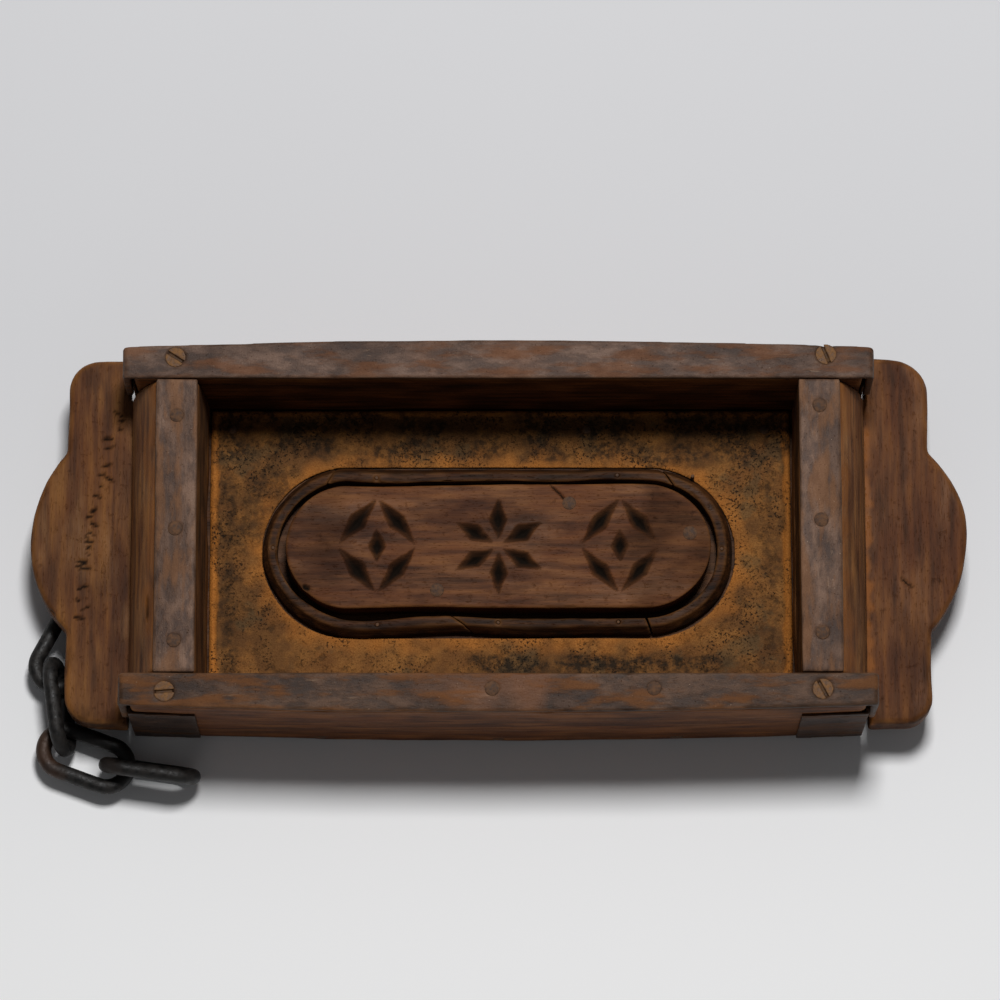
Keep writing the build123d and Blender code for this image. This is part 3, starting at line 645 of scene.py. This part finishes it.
for side, seed in (("left", 63.0), ("right", 74.0)):
    node = f"end_wall_{side}"
    low, high = box_of(node)
    wall = worn(even_copy([node], 1.1), 3, 0.35, 0.8, seed)
    inner = high.x if side == "left" else low.x
    # the foot of the inner face is painted darker, as shade where it meets the floor
    stained(wall, "grime", (inner - 4, low.y, low.z), (inner + 4, high.y, low.z + 30), 0.5, 8.0, 12.0)
    top = low.x + END_WALL_TOP_IN if side == "left" else high.x - END_WALL_TOP_IN
    stained(wall, "clay", (top - 4, low.y, high.z - 14), (top + 4, high.y, high.z + 2), 0.4, 4.0, 9.0)
    if side == "left":
        gouged(wall, *LEFT_WALL_SPLIT, 1.8, 1.6)
    hand_in(wall, f"worn_{node}", "mould", [node], end_wood)

# %% [markdown]
# ## Rim irons
# Flat irons protect the rim. The long ones turn down over the wall ends. They are worn thin and
# smooth, dented, and their arrises shine a little. A finer mesh is needed for 3 mm of iron.

# %% Rim straps
for edge, seed in (("near", 85.0), ("far", 96.0)):
    node = f"rim_strap_{edge}"
    strap = worn(even_copy([node], 0.75), 3, 0.22, 0.5, seed)
    stained(strap, "clay", (-30, -200, 60), (25, 200, 80), 0.32 if edge == "near" else 0.1, 26.0, 16.0)
    finish = near_strap_iron if edge == "near" else far_strap_iron
    hand_in(strap, f"worn_{node}", "mould", [node], finish)

# %% End strips and corner plates
for side, seed in (("left", 107.0), ("right", 118.0)):
    node = f"end_strip_{side}"
    strip = worn(even_copy([node], 0.6), 3, 0.22, 0.45, seed)
    hand_in(strip, f"worn_{node}", "mould", [node], strip_iron)

for edge in ("near", "far"):
    for side in ("left", "right"):
        node = f"corner_plate_{edge}_{side}"
        plate = worn(even_copy([node], 0.5), 1, 0.12, 0.3, 5.0)
        hand_in(plate, f"worn_{node}", "mould", [node], plate_iron)

# %% [markdown]
# ## The frog: liner, bead and plaque
# A brick's frog is the hollow that this raised plaque presses into it. The bead round it hides the
# cut edge of the sheet. The two lozenges and the six-petalled rosette are chip carving: each chip is
# a long diamond cut that is deepest in its middle, so one V-cut function draws all of them.

# %% Floor liner
LIP_WIDTH = 3.6
LIP_HEIGHT = 1.6
TOP_SKIN = 0.8                   # what lies higher than this on the sheet is its upper face

liner = even_copy(["floor_liner"], 0.8)
paint_layers(liner)
low, high = box_of("floor_liner")
for v in liner.verts:
    spot = v.co / MM
    from_edge = min(spot.x - low.x, high.x - spot.x, high.y - spot.y)
    if spot.z > low.z + TOP_SKIN and from_edge < LIP_WIDTH:
        v.co.z += LIP_HEIGHT * math.sin(math.pi * min(max(from_edge / LIP_WIDTH, 0), 1)) * MM
liner = worn(liner, 1, 0.28, 0.0, 131.0)
print("liner", len(liner.faces), "faces")

# %% Clay, dirt, painted shade and a painted highlight on the liner
FLOOR_BAND = (10, 20)            # heights between which the liner lies
LINER_STAINS = (                 # paint, x from and to, y from and to, amount, softness, patch size
    # the three clay bands lie on the raised lip: a painted highlight in clay colour where it catches light
    ("clay", (low.x - 2, low.x + 3.6), (low.y, high.y), 0.95, 1.0, 6.0),
    ("clay", (high.x - 3.6, high.x + 2), (low.y, high.y), 0.9, 1.0, 6.0),
    ("clay", (low.x, high.x), (high.y - 3, high.y + 2), 0.9, 1.0, 6.0),
    # the bands beside the end walls and under the far wall are painted shade at the walls' feet
    ("grime", (low.x + 4, low.x + 12), (low.y + 4, high.y), 0.45, 4.0, 7.0),
    ("grime", (high.x - 13, high.x - 4), (low.y + 4, high.y), 0.35, 4.0, 7.0),
    ("grime", (low.x, high.x), (high.y - 24, high.y + 2), 0.55, 9.0, 12.0),
    ("grime", (low.x, low.x + 34), (0, high.y), 0.42, 9.0, 10.0),
    ("grime", (-12, 110), (low.y + 10, low.y + 19), 0.6, 4.0, 11.0))
for paint, (left, right), (near, far), amount, soft, patch in LINER_STAINS:
    stained(liner, paint, (left, near, FLOOR_BAND[0]), (right, far, FLOOR_BAND[1]), amount, soft, patch)

# wet clay dries last against the bead, and leaves a bright ring of rust there
RING_WIDTH = 9.0
clay = paint_layers(liner)[PAINTS.index("clay")]
bead_low, bead_high = box_of("bead_left")[0], box_of("bead_right")[1]
bead_radius = (box_of("bead_far")[1].y - box_of("bead_near")[0].y) / 2
bead_run = (bead_high.x - bead_low.x) / 2 - bead_radius
for v in liner.verts:
    spot = v.co / MM
    away = Vector((max(abs(spot.x) - bead_run, 0), spot.y)).length - bead_radius
    ring = 1 - away / RING_WIDTH + 0.7 * noise.noise(spot / 7)
    v[clay] = max(v[clay], 0.75 * min(max(ring, 0), 1))
hand_in(liner, "rusted_floor_liner", "mould", ["floor_liner"], liner_rust)

# %% Bead
BEAD_WANDER = (1.9, 38)          # how far its line strays, and over what length

for side in ("near", "far", "left", "right"):
    node = f"bead_{side}"
    bead = bent(worn(even_copy([node], 0.6), 4, 0.6, 1.2, 140.0), *BEAD_WANDER)
    low, high = box_of(node)
    # all of the bead but its top is painted darker, as shade on its sides and at its foot
    stained(bead, "grime", (low.x - 2, low.y - 2, low.z - 2), (high.x + 2, high.y + 2, high.z - 3.4),
            0.75, 2.0, 6.0)
    hand_in(bead, f"worn_{node}", "mould", [node], bead_wood)

# %% Carved plaque
PLAQUE_ROUND_SIDES = 96

low, high = box_of("frog_plaque")
end_radius = (high.y - low.y) / 2
half_run = (high.x - low.x) / 2 - end_radius
bm = bmesh.new()
bmesh.ops.create_circle(bm, cap_ends=True, segments=PLAQUE_ROUND_SIDES, radius=end_radius * MM)
for v in bm.verts:
    v.co.x += math.copysign(half_run * MM, v.co.x)
    v.co.z = low.z * MM
risen = bmesh.ops.extrude_face_region(bm, geom=bm.faces[:])["geom"]
bmesh.ops.translate(bm, verts=[g for g in risen if isinstance(g, bmesh.types.BMVert)],
                    vec=(0, 0, (high.z - low.z) * MM))
bmesh.ops.recalc_face_normals(bm, faces=bm.faces)
plaque = bent(worn(evened(bm, 0.6), 4, 0.30, 0.8, 171.0), 1.0, 45)
print("plaque blank", len(plaque.faces), "faces")

# %% Chip cuts
CHIP_WIDTH = 8.0
CHIP_DEPTH = 3.8
LOZENGE_PITCH = 52.0
LOZENGE_HALF = (17.0, 21.0)
LOZENGE_SIDE = 26
LOZENGE_HEART = 15
PETAL_OUT = 11.8
PETAL_LONG = 19.0
PETALS = 6


def chip(middle, turn, length):
    """One diamond-shaped chip cut, by its middle, its direction and its length."""
    reach = Vector((math.cos(turn), math.sin(turn))) * length / 2
    gouged(plaque, Vector(middle) - reach, Vector(middle) + reach, CHIP_WIDTH, CHIP_DEPTH, True, 0.5)


for centre in (-LOZENGE_PITCH, LOZENGE_PITCH):
    for across, up in ((-1, -1), (-1, 1), (1, -1), (1, 1)):
        lean = -across * up * math.atan2(LOZENGE_HALF[1], LOZENGE_HALF[0])
        chip((centre + across * LOZENGE_HALF[0] / 2, up * LOZENGE_HALF[1] / 2), lean, LOZENGE_SIDE)
    chip((centre, 0), math.pi / 2, LOZENGE_HEART)
for petal in range(PETALS):
    turn = math.pi / 2 + petal * math.tau / PETALS
    chip((PETAL_OUT * math.cos(turn), PETAL_OUT * math.sin(turn)), turn, PETAL_LONG)

# a crack at the far edge and a dent at the left end, then dirt on both ends
gouged(plaque, (30.6, 18.6), (21.5, 27.5), 1.1, 1.2, crooked=1.2)
gouged(plaque, (-84, -17.5), (-79.5, -18.8), 3.0, 1.4, crooked=1.0)
stained(plaque, "grime", (58, -30, 20), (95, 30, 40), 0.40, 14.0, 16.0)
stained(plaque, "grime", (-95, -30, 20), (-66, 30, 40), 0.22, 14.0, 16.0)
hand_in(plaque, "carved_frog_plaque", "mould", ["frog_plaque"], plaque_wood)

# %% [markdown]
# ## Screws and nails
# Four slotted screws hold the long irons. They were turned in by hand, so each slot lies its own way.
# The nails have low domed heads. At this size a head is only as good as its unevenness, so the same
# wearing is used with squares of a third of a millimetre. Each slot is painted darker with its depth, as
# shade.

# %% Screws
SLOT_FROM = 0.45                 # below the head's top

screws = worn(even_copy(["rim_screws"], 0.3), 2, 0.12, 0.2, 3.0)
grime = paint_layers(screws)[1]
screw_top = box_of("rim_screws")[1].z
for v in screws.verts:
    sunk = screw_top - v.co.z / MM
    # deeper in the slot is painted darker, as shade
    if sunk > SLOT_FROM:
        v[grime] = min(sunk - 0.3, 1) * 0.8
hand_in(screws, "slotted_rim_screws", "mould", ["rim_screws"], screw_brass)

# %% Nails, pins and staple
NAIL_GROUPS = {"rim_nails": 0.35, "end_strip_nails": 0.35, "plaque_nails": 0.35,
               "corner_plate_nails": 0.45, "wall_nails": 0.5, "handle_nails": 0.5, "liner_tacks": 0.35}
for node, voxel in NAIL_GROUPS.items():
    nails = worn(even_copy([node], voxel), 1, 0.18, 0.2, len(node))
    finish = plate_iron if node == "corner_plate_nails" else nail_steel
    hand_in(nails, f"worn_{node}", "mould", [node], finish)

pins = bent(worn(even_copy(["bead_pins"], 0.35), 1, 0.1), *BEAD_WANDER)
hand_in(pins, "headless_bead_pins", "mould", ["bead_pins"], nail_steel)
staple = worn(even_copy(["chain_staple"], 0.4), 1, 0.12)
hand_in(staple, "forged_chain_staple", "mould", ["chain_staple"], chain_scale)

# %% [markdown]
# ## Chain
# The links were bent from round bar and welded in a fire, so the wire is never quite round. Each link
# rides on its own body. The unevenness stays under a tenth of a millimetre, because two hooked links
# lie a quarter of a millimetre apart and must not touch as they swing. The material shows the rest.

# %% Links
LINK_CLAY = {1: 0.0, 2: 0.0, 3: 0.55, 4: 0.1}
CLAY_REACH = 11                  # clay is on a link's left end only

for number, clay in LINK_CLAY.items():
    node = f"chain_link_{number}"
    low, high = box_of(node)
    link = worn(even_copy([node], 0.5), 1, 0.06, 0.0, 20.0 * number)
    if clay:
        stained(link, "clay", (low.x - 3, low.y - 3, -3), (low.x + CLAY_REACH, high.y + 3, high.z + 3),
                clay, 4.0, 8.0)
    hand_in(link, f"forged_{node}", f"link_{number}", [node], chain_scale)
